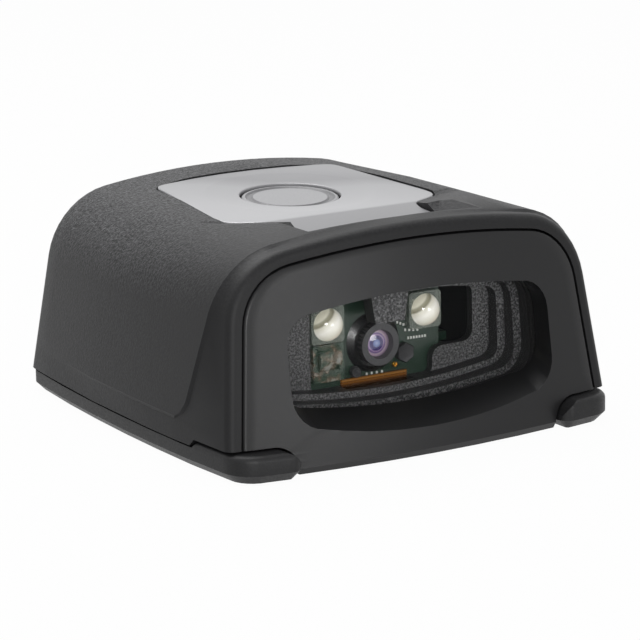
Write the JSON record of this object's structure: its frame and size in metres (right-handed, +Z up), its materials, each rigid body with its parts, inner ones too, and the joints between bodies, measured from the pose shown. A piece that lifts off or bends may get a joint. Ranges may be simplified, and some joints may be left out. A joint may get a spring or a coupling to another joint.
{
  "type": "fixed barcode reader",
  "caption": "Compact fixed-mount barcode reader with a crowned housing on a cast base, a framed scan window, a key in its top label and a cable connector behind.",
  "frame": {"origin": "bottom centre of the bounding box, on the table plane", "axes": "+X to the right seen from the front, +Y from the scan window to the rear connector, +Z up"},
  "size_m": [0.0586, 0.062, 0.0293],
  "materials": {
    "housing_plastic": "fine spark-eroded grain",
    "bezel_plastic": "smooth satin",
    "base_metal": "satin black paint on cast zinc",
    "label_plastic": "silver-grey satin film",
    "key_plastic": "silver-grey satin",
    "window_pane": "clear",
    "seal_rubber": "matt",
    "baffle_plastic": "coarse grain",
    "green_board": "green solder mask",
    "clear_lens": "moulded clear",
    "emitter": "phosphor yellow",
    "lens_black": "turned, anodised",
    "coated_glass": "violet coating",
    "chip_black": "moulded",
    "screw_steel": "zinc plated",
    "screw_black": "black oxide",
    "amber_film": "amber film",
    "socket_plastic": "ivory",
    "connector_metal": "nickel plated",
    "gilt_contact": "gilt"
  },
  "bodies": {
    "housing": {"base_plate": "base_metal", "base_seal": "seal_rubber", "top_housing": "housing_plastic", "front_bezel": "bezel_plastic", "exit_window": "window_pane", "window_gasket": "seal_rubber", "light_baffle": "baffle_plastic", "engine_chassis": "baffle_plastic", "illumination_board": "green_board", "illumination_lens_left": "clear_lens", "illumination_lens_right": "clear_lens", "led_left": "emitter", "led_right": "emitter", "aiming_lens": "clear_lens", "aiming_led": "emitter", "lens_barrel": "lens_black", "lens_glass": "coated_glass", "image_sensor": "chip_black", "sensor_board": "green_board", "engine_screws": "screw_steel", "flex_cable": "amber_film", "flex_socket": "socket_plastic", "decode_board": "green_board", "processor": "chip_black", "memory_chip": "chip_black", "beeper": "chip_black", "board_screws": "screw_steel", "switch_board": "green_board", "tact_switch": "chip_black", "switch_screws": "screw_steel", "switch_lead": "socket_plastic", "top_label": "label_plastic", "connector_shell": "connector_metal", "connector_insert": "chip_black", "connector_contacts": "gilt_contact", "jack_posts": "connector_metal", "housing_screws": "screw_black"},
    "scan_key": {"scan_button": "key_plastic", "switch_plunger": "socket_plastic"}
  },
  "joints": [
    {"name": "key_press", "type": "slide", "parent": "housing", "child": "scan_key", "axis": [0, 0.0436, -0.999], "range_m": [0, 0.0004], "stiffness_N_per_m": 4000}
  ]
}
